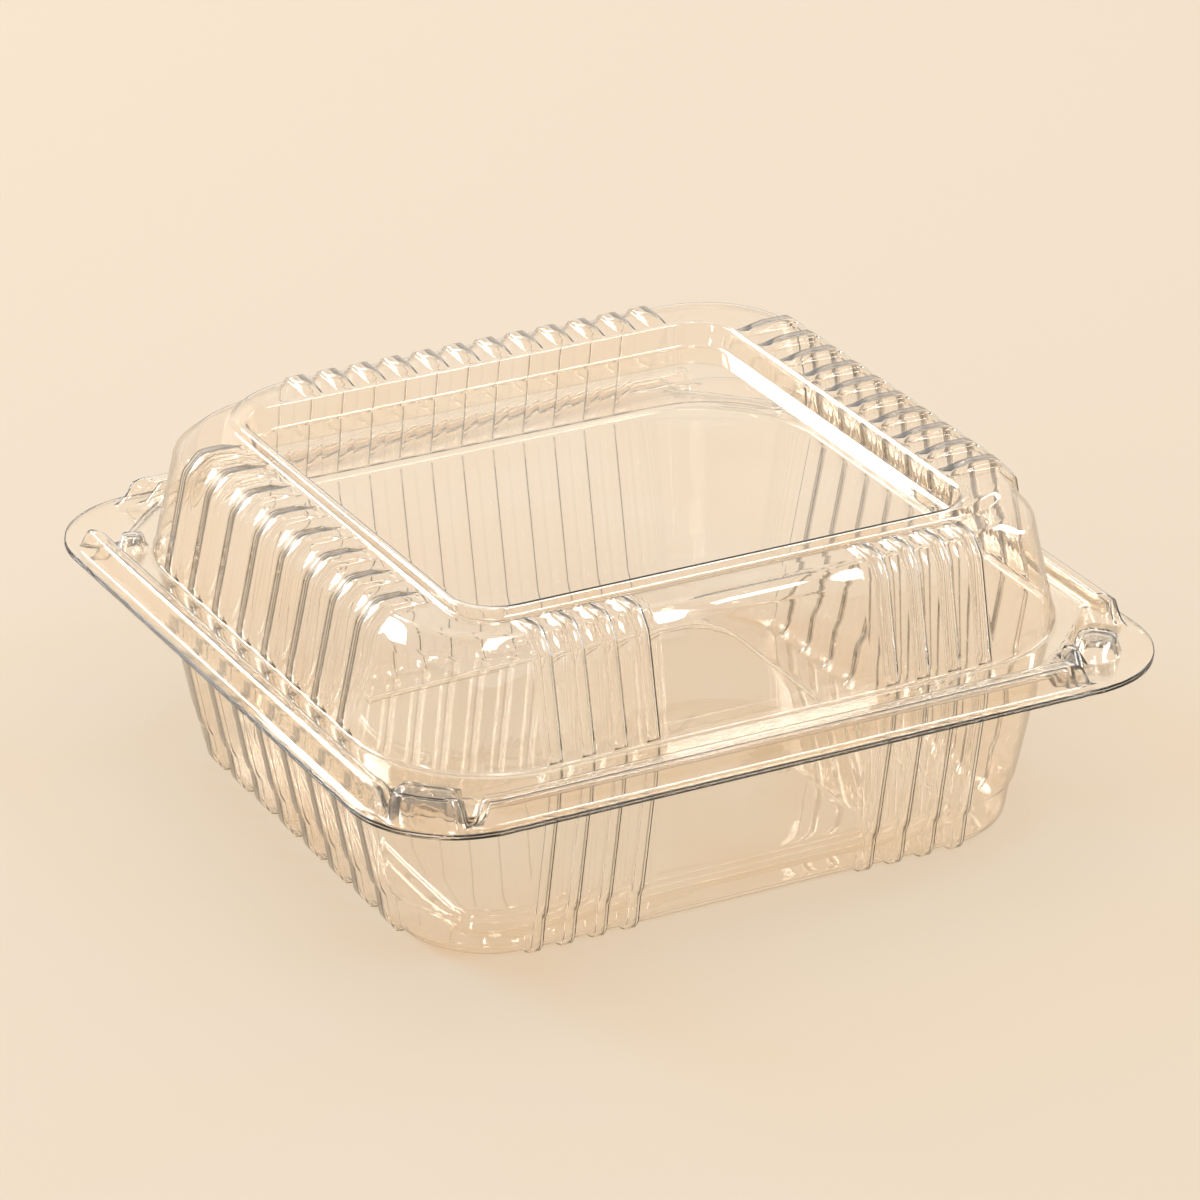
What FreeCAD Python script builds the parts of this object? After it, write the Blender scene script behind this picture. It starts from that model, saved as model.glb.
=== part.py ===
import FreeCAD, Part
import Sketcher
import os
from FreeCAD import Placement, Rotation, Vector

# A clear hinged food pack, formed from one sheet of plastic: a deep tray below and a domed lid above.
# The lid turns on the fold along the back edge. Lengths are in millimetres, X runs along the front,
# Y runs to the back and Z is up. The origin is on the table under the middle of the tray.

doc = FreeCAD.newDocument("hinged_pack")
sheet = doc.addObject("Spreadsheet::Sheet", "sheet")

# Sizes
sizes = {
    # The sheet, and the air between the two nested rims.
    "gauge": 0.4,
    "rim_gap": 0.3,
    "seam_height": 42.6,
    # How far a sloping wall steps sideways for each millimetre the surface is lowered.
    "wall_step": 0.8,
    "inner_step": 0.66,
    "shoulder_step": 0.4,
    # Flat lip round both halves.
    "lip_half": 90.0,
    "lip_corner": 23.0,
    "lip_width": 2.2,
    # Raised rail just inside the lip.
    "rail_corner": 21.5,
    "rail_lean": 1.2,
    "rail_width": 2.6,
    "rail_rise": 5.25,
    "rail_inner_corner": 19.5,
    "bead_relief_side": 0.35,
    "bead_relief_top": 0.25,
    # Platform between the rail and the dome.
    "platform_drop": 2.8,
    "platform_width_x": 4.4,
    "platform_width_y": 8.5,
    # Lower dome of the lid. The corners narrow with the walls, so every corner is a plain cone.
    "crest_height": 73.3,
    "dome_corner": 29.0,
    "dome_wall_in": 4.9,
    "dome_shoulder_in": 3.2,
    "dome_shoulder_drop": 3.4,
    "ring_drop": 2.1,
    # Raised plateau, level with the crest, out to the right and back walls.
    "plateau_outset": 0.3,
    "plateau_west": 64.4,
    "plateau_south": 62.4,
    "plateau_wall_in": 3.9,
    "plateau_shoulder_in": 3.5,
    "plateau_edge_in": 1.6,
    "plateau_shoulder_drop": 3.7,
    "plateau_corner": 23.9,
    "plateau_near_corner": 13.0,
    # Sunk panel in the top, where another pack stands.
    "crest_inner_x": 57.5,
    "crest_inner_y": 56.1,
    "crest_inner_corner": 9.5,
    "panel_lean": 1.7,
    "panel_drop": 5.0,
    # Tray walls, each level stepped in from the mouth.
    "mouth_margin": 0.3,
    "tray_corner": 29.0,
    "tray_wall_in": 6.7,
    "tray_step_height": 10.6,
    "tray_step_in": 1.0,
    "tray_step_drop": 1.4,
    "tray_heel_in": 1.1,
    "tray_heel_height": 2.2,
    "tray_sole_in": 1.9,
    # Raised middle of the floor.
    "floor_margin": 9.7,
    "floor_corner": 9.0,
    "floor_rise": 2.4,
    "floor_slope": 1.0,
    # Stiffening ribs, and how far they run over the shoulder and round the heel.
    "rib_proud": 1.2,
    "rib_depth": 6.0,
    "rib_foot_in": 0.3,
    "rib_bend": 0.36,
    "rib_run_out": 2.6,
    "rib_step_gap": 0.4,
    "rib_heel_lift": 1.0,
    "left_rib_width": 5.6,
    "left_rib_pitch": 11.8,
    "left_rib_count": 8,
    "right_rib_width": 4.6,
    "right_rib_pitch": 9.5,
    "right_rib_count": 10,
    "back_rib_width": 3.6,
    "back_rib_pitch": 7.5,
    "back_rib_count": 12,
    "back_rib_shift": 3.5,
    "front_rib_width": 3.0,
    "front_rib_pitch": 7.2,
    "front_rib_count": 4,
    "front_rib_inner": 27.2,
    "right_rib_shift": 2.0,
    # Long bead on the front shoulder.
    "bead_length": 30.0,
    "bead_width": 4.2,
    "bead_proud": 0.9,
    "bead_root": 1.4,
    "bead_lean": 46.7,
    # Breaks in the rail at the corners, each measured out along the corner's own diagonal.
    "break_out": 120.0,
    "break_corner": 2.0,
    "near_break_in": 107.0,
    "near_break_length": 19.6,
    "right_break_in": 100.4,
    "right_break_length": 31.0,
    "back_break_in": 103.0,
    "back_break_length": 24.8,
    "fold_relief": 2.9,
    # Snap at the near corner.
    "snap_reach": 79.4,
    "snap_length": 14.8,
    "snap_width": 7.0,
    "snap_corner": 2.8,
    "snap_rise": 6.6,
    # Round snap buttons at the other corners.
    "button_x": 79.4,
    "button_y": 59.9,
    "button_radius": 2.8,
    "big_button_x": 75.4,
    "big_button_y": 74.6,
    "big_button_radius": 4.6,
    "big_button_rise": 3.7,
    "knob_x": 66.9,
    "knob_y": 78.3,
    "knob_radius": 2.1,
    "knob_rise": 4.4,
}
for row, (name, value) in enumerate(sizes.items(), start=1):
    sheet.set("A%d" % row, name)
    sheet.set("B%d" % row, str(value))
    sheet.setAlias("B%d" % row, name)
doc.recompute()


# Sizes worked out from the ones above. Depths are measured down from the lid's outer face.
worked_out = {
    "lid_inside": "gauge",
    "tray_face": "( gauge + rim_gap )",
    "tray_back": "( 2 * gauge + rim_gap )",
    "lip_top": "( seam_height + 0.5 * rim_gap + gauge )",
    "rail_foot_half": "( lip_half - lip_width )",
    "rail_top_half": "( rail_foot_half - rail_lean )",
    "rail_inner_top_half": "( rail_top_half - rail_width )",
    "rail_inner_foot_half": "( rail_inner_top_half - rail_lean )",
    "rail_top_height": "( lip_top + rail_rise )",
    "platform_height": "( rail_top_height - platform_drop )",
    "dome_foot_x": "( rail_inner_foot_half - platform_width_x )",
    "dome_foot_y": "( rail_inner_foot_half - platform_width_y )",
    "dome_waist_x": "( dome_foot_x - dome_wall_in )",
    "dome_waist_y": "( dome_foot_y - dome_wall_in )",
    "dome_ring_x": "( dome_waist_x - dome_shoulder_in )",
    "dome_ring_y": "( dome_waist_y - dome_shoulder_in )",
    "dome_ring_height": "( crest_height - ring_drop )",
    "dome_waist_height": "( dome_ring_height - dome_shoulder_drop )",
    "plateau_foot_east": "( dome_foot_x - plateau_outset )",
    "plateau_foot_north": "( dome_foot_y - plateau_outset )",
    "plateau_waist_height": "( crest_height - plateau_shoulder_drop )",
    "plateau_waist_east": "( plateau_foot_east - plateau_wall_in )",
    "plateau_waist_north": "( plateau_foot_north - plateau_wall_in )",
    "plateau_waist_west": "( plateau_west - plateau_wall_in )",
    "plateau_waist_south": "( plateau_south - plateau_wall_in )",
    "plateau_top_east": "( plateau_waist_east - plateau_shoulder_in )",
    "plateau_top_north": "( plateau_waist_north - plateau_shoulder_in )",
    "panel_height": "( crest_height - panel_drop )",
    "tray_mouth_x": "( dome_foot_x - mouth_margin )",
    "tray_mouth_y": "( dome_foot_y - mouth_margin )",
    "tray_step_depth": "( tray_wall_in + tray_step_in )",
    "tray_heel_depth": "( tray_step_depth + tray_heel_in )",
    "tray_heel_x": "( tray_mouth_x - tray_heel_depth )",
    "tray_heel_y": "( tray_mouth_y - tray_heel_depth )",
    "tray_sole_depth": "( tray_heel_depth + tray_sole_in )",
    "tray_mouth_height": "( platform_height - tray_face - gauge )",
    "floor_edge_x": "( tray_heel_x - tray_sole_in - floor_margin )",
    "floor_edge_y": "( tray_heel_y - tray_sole_in - floor_margin + plateau_outset )",
    "bead_reach": "( dome_waist_y - 0.5 * dome_shoulder_in )",
    "bead_height": "( dome_ring_height - 0.5 * dome_shoulder_drop )",
}


def size(text):
    """Turn a size written with the names above into an expression, such as 'gauge + rim_gap'."""
    while any(word in worked_out for word in text.split()):
        text = " ".join(worked_out.get(word, word) for word in text.split())
    return " ".join("sheet." + word if word in sizes else word for word in text.split())


def number(text):
    """The value of such a size now, for placing the first guess of a drawing."""
    value = sheet.evalExpression(size(text))
    return float(getattr(value, "Value", value))


def plane(body, role):
    """One of the body's own three planes."""
    for feature in body.Origin.OriginFeatures:
        if feature.Role == role:
            return feature
    raise ValueError(role)


def blank_sketch(body, name, role, offset):
    """An empty sketch on one of the body's planes, moved off it by a named distance."""
    sketch = body.newObject("Sketcher::SketchObject", name)
    sketch.AttachmentSupport = [(plane(body, role), "")]
    sketch.MapMode = "FlatFace"
    sketch.setExpression("AttachmentOffset.Base.z", size(offset))
    return sketch


def tie(sketch, constraint, label, text):
    """Add a length to a sketch and tie it to the sheet."""
    index = sketch.addConstraint(constraint)
    sketch.renameConstraint(index, label)
    sketch.setExpression("Constraints." + label, size(text))


def outline(body, name, extents, corners, height):
    """A rectangle with round corners at a height: extents west, east, south, north from the centre."""
    sketch = blank_sketch(body, name, "XY_Plane", height)
    west, east, south, north = [number(text) for text in extents]
    sw, se, ne, nw = [number(text) for text in corners]
    quarter = 1.5707963267948966
    up = Vector(0, 0, 1)
    middles = [Vector(-west + sw, -south + sw, 0), Vector(east - se, -south + se, 0),
               Vector(east - ne, north - ne, 0), Vector(-west + nw, north - nw, 0)]
    starts = [2 * quarter, 3 * quarter, 0.0, quarter]
    sketch.addGeometry(Part.LineSegment(Vector(-west + sw, -south, 0), Vector(east - se, -south, 0)), False)
    sketch.addGeometry(Part.LineSegment(Vector(east, -south + se, 0), Vector(east, north - ne, 0)), False)
    sketch.addGeometry(Part.LineSegment(Vector(east - ne, north, 0), Vector(-west + nw, north, 0)), False)
    sketch.addGeometry(Part.LineSegment(Vector(-west, north - nw, 0), Vector(-west, -south + sw, 0)), False)
    for middle, radius, start in zip(middles, (sw, se, ne, nw), starts):
        circle = Part.Circle(middle, up, radius)
        sketch.addGeometry(Part.ArcOfCircle(circle, start, start + quarter), False)
    joins = [(4, 2, 0, 1), (0, 2, 5, 1), (5, 2, 1, 1), (1, 2, 6, 1),
             (6, 2, 2, 1), (2, 2, 7, 1), (7, 2, 3, 1), (3, 2, 4, 1)]
    for first, end, second, begin in joins:
        sketch.addConstraint(Sketcher.Constraint("Tangent", first, end, second, begin))
    for line, direction in ((0, "Horizontal"), (2, "Horizontal"), (1, "Vertical"), (3, "Vertical")):
        sketch.addConstraint(Sketcher.Constraint(direction, line))
    tie(sketch, Sketcher.Constraint("DistanceX", 3, 1, -1, 1, west), "west", extents[0])
    tie(sketch, Sketcher.Constraint("DistanceX", -1, 1, 1, 1, east), "east", extents[1])
    tie(sketch, Sketcher.Constraint("DistanceY", 0, 1, -1, 1, south), "south", extents[2])
    tie(sketch, Sketcher.Constraint("DistanceY", -1, 1, 2, 1, north), "north", extents[3])
    for arc, label, text, radius in zip((4, 5, 6, 7), ("sw", "se", "ne", "nw"), corners, (sw, se, ne, nw)):
        tie(sketch, Sketcher.Constraint("Radius", arc, radius), label, text)
    return sketch


def square_outline(body, name, half_x, half_y, corner, height):
    """The same on both sides of the centre, with four equal corners."""
    return outline(body, name, (half_x, half_x, half_y, half_y), (corner,) * 4, height)


def polygon(body, name, role, offset, points):
    """A closed run of straight lines through named points on an upright plane."""
    sketch = blank_sketch(body, name, role, offset)
    spots = [Vector(number(u), number(v), 0) for u, v in points]
    last = len(spots) - 1
    for index, spot in enumerate(spots):
        following = spots[0] if index == last else spots[index + 1]
        sketch.addGeometry(Part.LineSegment(spot, following), False)
    for index in range(len(spots)):
        following = 0 if index == last else index + 1
        sketch.addConstraint(Sketcher.Constraint("Coincident", index, 2, following, 1))
    for index, (u, v) in enumerate(points):
        spot = spots[index]
        tie(sketch, Sketcher.Constraint("DistanceX", -1, 1, index, 1, spot.x), "u%d" % index, u)
        tie(sketch, Sketcher.Constraint("DistanceY", -1, 1, index, 1, spot.y), "v%d" % index, v)
    return sketch


def loft(body, name, sections, cut=False):
    """A straight-sided form through a run of outlines, added to the body or taken from it."""
    kind = "PartDesign::SubtractiveLoft" if cut else "PartDesign::AdditiveLoft"
    feature = body.newObject(kind, name)
    feature.Profile = sections[0]
    feature.Sections = sections[1:]
    feature.Ruled = True
    feature.Refine = False
    body.Tip = feature
    return feature


def slab(body, name, sketch, depth, cut=False, both_ways=False, taper=None):
    """A flat-ended block drawn up from a sketch, or the same taken away."""
    feature = body.newObject("PartDesign::Pocket" if cut else "PartDesign::Pad", name)
    feature.Profile = sketch
    feature.setExpression("Length", size(depth))
    if both_ways:
        feature.SideType = "Symmetric"
    elif cut:
        feature.Reversed = True
    if taper:
        feature.setExpression("TaperAngle", size(taper))
    feature.Refine = False
    body.Tip = feature
    return feature


def row_of(body, name, feature, role, pitch, count):
    """Repeat a feature along one of the body's axes at an even pitch."""
    pattern = body.newObject("PartDesign::LinearPattern", name)
    pattern.Originals = [feature]
    pattern.Direction = (plane(body, role), [""])
    pattern.setExpression("Occurrences", size(count))
    pattern.setExpression("Length", size("( %s - 1 ) * %s" % (count, pitch)))
    pattern.Refine = False
    body.Tip = pattern
    return pattern



def block(body, name, low, high, cut=False):
    """A form between two round-cornered squares, each given as half x, half y, corner, height."""
    bottom = square_outline(body, name + "_low", *low)
    top = square_outline(body, name + "_high", *high)
    return loft(body, name, [bottom, top], cut)


def rail_block(body, name, depth, spare="0", cut=False):
    """The solid under the rail, from the lip to the rail's top, at a depth below the outer face."""
    low = "rail_foot_half - wall_step * %s" % depth
    high = "rail_top_half - wall_step * %s" % depth
    block(body, name, (low, low, "rail_corner", "lip_top - %s" % depth),
          (high, high, "rail_corner", "rail_top_height - %s - %s" % (depth, spare)), cut)


def rail_well(body, name, depth, spare_side="0", spare_top="0", cut=False):
    """The room inside the rail, down to the platform, at a depth below the outer face."""
    low = "rail_inner_foot_half + inner_step * %s + %s" % (depth, spare_side)
    high = "rail_inner_top_half + inner_step * %s + %s" % (depth, spare_side)
    block(body, name, (low, low, "rail_inner_corner", "platform_height - %s" % depth),
          (high, high, "rail_inner_corner", "rail_top_height - %s - %s" % (depth, spare_top)), cut)


def new_body(name):
    """A body for one moulded piece."""
    body = doc.addObject("PartDesign::Body", name)
    body.Label = name
    return body


def lip(body, name, height):
    """The flat lip: one plate of the sheet's gauge with its lower face at a height."""
    plate = square_outline(body, name + "_outline", "lip_half", "lip_half", "lip_corner", height)
    slab(body, name, plate, "gauge")



def dome(body, name, depth, cut=False):
    """The lid's lower dome: wall, sloped shoulder and flat ring, at a depth below the outer face."""
    levels = [("foot", "wall_step", "0", "platform_height - %s" % depth),
              ("waist", "wall_step", "dome_wall_in", "dome_waist_height - wall_step * %s" % depth),
              ("ring", "shoulder_step", "dome_wall_in", "dome_ring_height - %s" % depth)]
    outlines = [square_outline(body, "%s_%s" % (name, level), "dome_%s_x - %s * %s" % (level, step, depth),
                               "dome_%s_y - %s * %s" % (level, step, depth),
                               "dome_corner - %s - wall_step * %s" % (inset, depth), height)
                for level, step, inset, height in levels]
    loft(body, name, outlines, cut)


def plateau(body, name, depth, cut=False):
    """The raised plateau, carried out to the right and back walls, at a depth below the outer face."""
    far, near = "plateau_corner", "plateau_near_corner"
    levels = []
    for level, step, west, south, inset, height in (
            ("foot", "wall_step", "plateau_west", "plateau_south", "0", "platform_height - %s" % depth),
            ("waist", "wall_step", "plateau_waist_west", "plateau_waist_south", "plateau_wall_in",
             "plateau_waist_height - wall_step * %s" % depth),
            ("top", "shoulder_step", "plateau_waist_west - plateau_edge_in",
             "plateau_waist_south - plateau_edge_in", "plateau_wall_in", "crest_height - %s" % depth)):
        extents = ["%s - %s * %s" % (side, step, depth)
                   for side in (west, "plateau_%s_east" % level, south, "plateau_%s_north" % level)]
        corners = ["%s - %s - wall_step * %s" % (corner, inset, depth) for corner in (near, far, far, far)]
        levels.append(outline(body, "%s_%s" % (name, level), extents, corners, height))
    loft(body, name, levels, cut)


def panel(body, name, depth, cut=False):
    """The sunk panel in the top at a depth below the outer face."""
    high_x = "crest_inner_x + wall_step * %s" % depth
    high_y = "crest_inner_y + wall_step * %s" % depth
    corner = "crest_inner_corner + wall_step * %s" % depth
    block(body, name, (high_x + " - panel_lean", high_y + " - panel_lean", corner + " - panel_lean",
                       "panel_height - %s" % depth),
          (high_x, high_y, corner, "crest_height - %s" % depth), cut)


def shoulder_bead(body, name, depth):
    """The long round-ended bead that stands out of the front shoulder, at a depth below the outer face."""
    sketch = blank_sketch(body, name + "_outline", "XY_Plane", "bead_height")
    half = number("0.5 * bead_length - 0.5 * bead_width")
    radius = number("0.5 * bead_width - %s" % depth)
    quarter = 1.5707963267948966
    up = Vector(0, 0, 1)
    left, right = Vector(-half, 0, 0), Vector(half, 0, 0)
    rise = Vector(0, radius, 0)
    sketch.addGeometry(Part.LineSegment(left - rise, right - rise), False)
    sketch.addGeometry(Part.ArcOfCircle(Part.Circle(right, up, radius), -quarter, quarter), False)
    sketch.addGeometry(Part.LineSegment(right + rise, left + rise), False)
    sketch.addGeometry(Part.ArcOfCircle(Part.Circle(left, up, radius), quarter, 3 * quarter), False)
    for first, end, second, begin in ((0, 2, 1, 1), (1, 2, 2, 1), (2, 2, 3, 1), (3, 2, 0, 1)):
        sketch.addConstraint(Sketcher.Constraint("Tangent", first, end, second, begin))
    sketch.addConstraint(Sketcher.Constraint("Horizontal", 0))
    sketch.addConstraint(Sketcher.Constraint("PointOnObject", 1, 3, -1))
    tie(sketch, Sketcher.Constraint("Radius", 1, radius), "radius", "0.5 * bead_width - %s" % depth)
    tie(sketch, Sketcher.Constraint("DistanceX", -1, 1, 1, 3, half), "right",
        "0.5 * bead_length - 0.5 * bead_width")
    tie(sketch, Sketcher.Constraint("DistanceX", 3, 3, -1, 1, half), "left",
        "0.5 * bead_length - 0.5 * bead_width")
    sketch.AttachmentOffset = Placement(Vector(0, 0, 0), Rotation(Vector(1, 0, 0), number("bead_lean")))
    sketch.setExpression("AttachmentOffset.Base.y", size("0 - bead_reach"))
    sketch.setExpression("AttachmentOffset.Base.z", size("bead_height"))
    sketch.setExpression("AttachmentOffset.Rotation.Angle", size("bead_lean"))
    bead = slab(body, name, sketch, "bead_proud - %s" % depth)
    bead.SideType = "Two sides"
    bead.setExpression("Length2", size("bead_root"))


# Each side's ribs: the plane that cuts across them, the sign of outward, the axis they repeat along,
# their width, pitch and count, and where the first one stands.
sides = {
    "left": ("XZ_Plane", "-1", "Y_Axis", "left_rib_width", "left_rib_pitch", "left_rib_count",
             "0.5 * ( left_rib_count - 1 ) * left_rib_pitch"),
    "right": ("XZ_Plane", "1", "Y_Axis", "right_rib_width", "right_rib_pitch", "right_rib_count",
              "0.5 * ( right_rib_count - 1 ) * right_rib_pitch - right_rib_shift"),
    "back": ("YZ_Plane", "1", "X_Axis", "back_rib_width", "back_rib_pitch", "back_rib_count",
             "back_rib_shift - 0.5 * ( back_rib_count - 1 ) * back_rib_pitch"),
    "front_a": ("YZ_Plane", "-1", "X_Axis", "front_rib_width", "front_rib_pitch", "front_rib_count",
                "0 - front_rib_inner - ( front_rib_count - 1 ) * front_rib_pitch"),
    "front_b": ("YZ_Plane", "-1", "X_Axis", "front_rib_width", "front_rib_pitch", "front_rib_count",
                "front_rib_inner"),
}


def rib_row(body, name, side, profile, width, cut=False):
    """One side's ribs: the profile across the wall, drawn out to a rib's width and repeated."""
    role, outward, axis, full_width, pitch, count, start = sides[side]
    points = [("%s * ( %s )" % (outward, reach), height) for reach, height in profile]
    section = polygon(body, name + "_section", role, start, points)
    rib = slab(body, name, section, width, cut=cut, both_ways=True)
    row_of(body, name + "_row", rib, axis, pitch, count)


def lid_rib(side, depth):
    """A lid rib from the platform up the wall and over the shoulder to the crest or the step."""
    axis = "x" if side in ("left", "right") else "y"
    if side in ("right", "back"):
        way = "east" if side == "right" else "north"
        foot = "plateau_foot_%s + rib_foot_in" % way
        waist, waist_height = "plateau_waist_" + way, "plateau_waist_height"
        top, top_height = "plateau_top_" + way, "crest_height"
        end = "crest_inner_%s + rib_run_out" % axis
    else:
        way = "west" if side == "left" else "south"
        foot = "dome_foot_" + axis
        waist, waist_height = "dome_waist_" + axis, "dome_waist_height"
        top, top_height = "dome_ring_" + axis, "dome_ring_height"
        end = "plateau_waist_%s + rib_step_gap" % way
    inside = "%s - rib_depth" % foot
    return [
        ("%s + rib_proud - wall_step * %s" % (foot, depth), "platform_height - %s" % depth),
        ("%s + rib_proud - wall_step * %s" % (waist, depth),
         "%s + rib_bend - wall_step * %s" % (waist_height, depth)),
        ("%s + shoulder_step * rib_proud - shoulder_step * %s" % (top, depth),
         "%s + rib_proud - %s" % (top_height, depth)),
        ("%s + rib_proud + shoulder_step * %s" % (end, depth), "%s + rib_proud - %s" % (top_height, depth)),
        ("%s + shoulder_step * %s" % (end, depth), "%s - %s" % (top_height, depth)),
        ("%s + shoulder_step * %s" % (end, depth), "%s - rib_depth" % top_height),
        (inside, "platform_height - %s" % depth),
    ]


def tray_rib(side, depth):
    """A tray rib from under the platform down the wall to the heel."""
    axis = "x" if side in ("left", "right") else "y"
    mouth, heel = "tray_mouth_" + axis, "tray_heel_" + axis
    floor = "1.5 * %s" % depth
    top = "tray_mouth_height + %s" % floor
    return [
        ("%s + rib_proud - %s" % (mouth, depth), top),
        ("%s + rib_proud - %s" % (heel, depth), "tray_heel_height + rib_heel_lift"),
        ("%s - rib_foot_in - %s" % (heel, depth), floor),
        ("%s - rib_depth" % heel, floor),
        ("%s - rib_depth" % mouth, top),
    ]


def button(body, name, across, along, radius, foot, rise, depth, spare="0"):
    """A round snap button that stands on the platform or in a corner break."""
    sketch = blank_sketch(body, name + "_circle", "XY_Plane", "%s - %s" % (foot, depth))
    middle = Vector(number(across), number(along), 0)
    reduced = "%s - wall_step * %s" % (radius, depth)
    ring = Part.Circle(middle, Vector(0, 0, 1), number(reduced))
    sketch.addGeometry(ring, False)
    tie(sketch, Sketcher.Constraint("DistanceX", -1, 1, 0, 3, middle.x), "across", across)
    tie(sketch, Sketcher.Constraint("DistanceY", -1, 1, 0, 3, middle.y), "along", along)
    tie(sketch, Sketcher.Constraint("Radius", 0, ring.Radius), "radius", reduced)
    slab(body, name, sketch, "%s - %s" % (rise, spare))


def turned_outline(body, name, quadrant, half_length, half_width, corner, reach, height):
    """A round-cornered rectangle set square across one corner's diagonal, at a distance from the centre."""
    turn = {"near": -45, "right": 45, "back_left": 45, "back_right": -45}[quadrant]
    east = 1 if quadrant in ("right", "back_right") else -1
    north = 1 if quadrant in ("back_left", "back_right") else -1
    sketch = square_outline(body, name, half_length, half_width, corner, height)
    sketch.AttachmentOffset = Placement(Vector(0, 0, 0), Rotation(Vector(0, 0, 1), turn))
    sketch.setExpression("AttachmentOffset.Base.x", size("%d * ( %s ) / sqrt( 2 )" % (east, reach)))
    sketch.setExpression("AttachmentOffset.Base.y", size("%d * ( %s ) / sqrt( 2 )" % (north, reach)))
    sketch.setExpression("AttachmentOffset.Base.z", size(height))
    return sketch


def rail_break(body, name, quadrant, way, depth, relief):
    """A break in the rail at a corner, level with the lip, that gives a snap its room."""
    sketch = turned_outline(body, name + "_outline", quadrant,
                            "0.5 * %s_break_length + wall_step * %s + %s" % (way, depth, relief),
                            "0.5 * ( break_out - %s_break_in ) + 0.5 * wall_step * %s" % (way, depth),
                            "break_corner + wall_step * %s" % depth,
                            "0.5 * ( break_out + %s_break_in ) - 0.5 * wall_step * %s" % (way, depth),
                            "lip_top - %s" % depth)
    slab(body, name, sketch, "snap_rise + rail_rise", cut=True)


def corner_snap(body, name, depth, spare="0"):
    """The long block across the near corner that holds the two halves shut."""
    sketch = turned_outline(body, name + "_outline", "near", "0.5 * snap_length - wall_step * %s" % depth,
                            "0.5 * snap_width - wall_step * %s" % depth,
                            "snap_corner - wall_step * %s" % depth, "snap_reach * sqrt( 2 )",
                            "lip_top - %s" % depth)
    slab(body, name, sketch, "snap_rise - %s" % spare)


stands = {
    "left": ("0 - button_x", "button_y", "button_radius", "platform_height", "platform_drop"),
    "back": ("button_x", "button_y", "button_radius", "platform_height", "platform_drop"),
    "right": ("big_button_x", "0 - big_button_y", "big_button_radius", "lip_top", "big_button_rise"),
    "knob": ("knob_x", "0 - knob_y", "knob_radius", "lip_top", "knob_rise"),
}

breaks = {"near": "near", "right": "right", "back_left": "back", "back_right": "back"}


def joined(name, shapes):
    """Several forms made one."""
    feature = doc.addObject("Part::MultiFuse", name)
    feature.Shapes = shapes
    feature.Refine = False
    return feature


def cut_away(name, base, tool):
    """One form less another."""
    feature = doc.addObject("Part::Cut", name)
    feature.Base = base
    feature.Tool = tool
    feature.Refine = False
    return feature


def rim(body, prefix, depth, spare_side="0", spare_top="0"):
    """Rail, platform, corner breaks and snaps at a depth below the lid's outer face."""
    rail_block(body, prefix + "_rail", depth, spare_top)
    rail_well(body, prefix + "_well", depth, spare_side, spare_top, cut=True)
    for quadrant, way in breaks.items():
        # Beside the fold the lid's rail swings back, so the tray's stops short of it there.
        relief = "fold_relief" if way == "back" and spare_side != "0" else "0"
        rail_break(body, prefix + "_break_" + quadrant, quadrant, way, depth, relief)
    corner_snap(body, prefix + "_snap", depth, spare_top)
    for name, (across, along, radius, foot, rise) in stands.items():
        button(body, prefix + "_button_" + name, across, along, radius, foot, rise, depth, spare_top)


def lid_solid(prefix, depth):
    """The lid as a solid lump whose face lies at a depth below the outer face."""
    body = new_body(prefix)
    if depth == "0":
        lip(body, prefix + "_lip", "lip_top - gauge")
    rim(body, prefix, depth)
    dome(body, prefix + "_dome", depth)
    plateau(body, prefix + "_plateau", depth)
    panel(body, prefix + "_panel", depth, cut=True)
    return body


def rib_set(prefix, shape_of, depth, bead=False):
    """The ribs of all four sides, and the lid's bead; a hollow one is narrower on both flanks."""
    body = new_body(prefix)
    body.AllowCompound = True
    if bead:
        shoulder_bead(body, prefix + "_bead", depth)
    for side in sides:
        width = sides[side][3] if depth == "0" else sides[side][3] + " - 2 * gauge"
        rib_row(body, prefix + "_" + side, side, shape_of(side, depth), width)
    return body


# The lid: the outer lump with its ribs, less the same lump one sheet smaller all over.
lid_outside = joined("lid_outside", [lid_solid("lid_lump", "0"), rib_set("lid_ribs", lid_rib, "0", True)])
lid_inside = joined("lid_inside_form", [lid_solid("lid_core", "lid_inside"),
                                        rib_set("lid_rib_cores", lid_rib, "lid_inside", True)])
lid = cut_away("lid", lid_outside, lid_inside)
lid.Label = "lid"


def tray_pocket(body, prefix, depth):
    """The tray's deep pocket as a solid: mouth, long wall, small step, heel and sole."""
    levels = []
    for name, inset, height in (
            ("mouth", "0", "tray_mouth_height + %s" % depth),
            ("step", "tray_wall_in", "tray_step_height + 0.5 * %s" % depth),
            ("step_low", "tray_step_depth", "tray_step_height - tray_step_drop + 0.5 * %s" % depth),
            ("heel", "tray_heel_depth", "tray_heel_height + 0.5 * %s" % depth),
            ("sole", "tray_sole_depth", depth)):
        step = "0.5" if name == "sole" else "1"
        inward = " - %s - %s * %s" % (inset, step, depth)
        levels.append(square_outline(body, prefix + "_" + name, "tray_mouth_x" + inward,
                                     "tray_mouth_y" + inward, "tray_corner" + inward, height))
    loft(body, prefix + "_pocket", levels)


def floor_block(body, name, depth, cut=False):
    """The raised middle of the floor, from the table up, at a height above its underside."""
    block(body, name, ("floor_edge_x + %s" % depth, "floor_edge_y + %s" % depth, "floor_corner", "0"),
          ("floor_edge_x - floor_slope + %s" % depth, "floor_edge_y - floor_slope + %s" % depth,
           "floor_corner - 1", "floor_rise + %s" % depth), cut)


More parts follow.
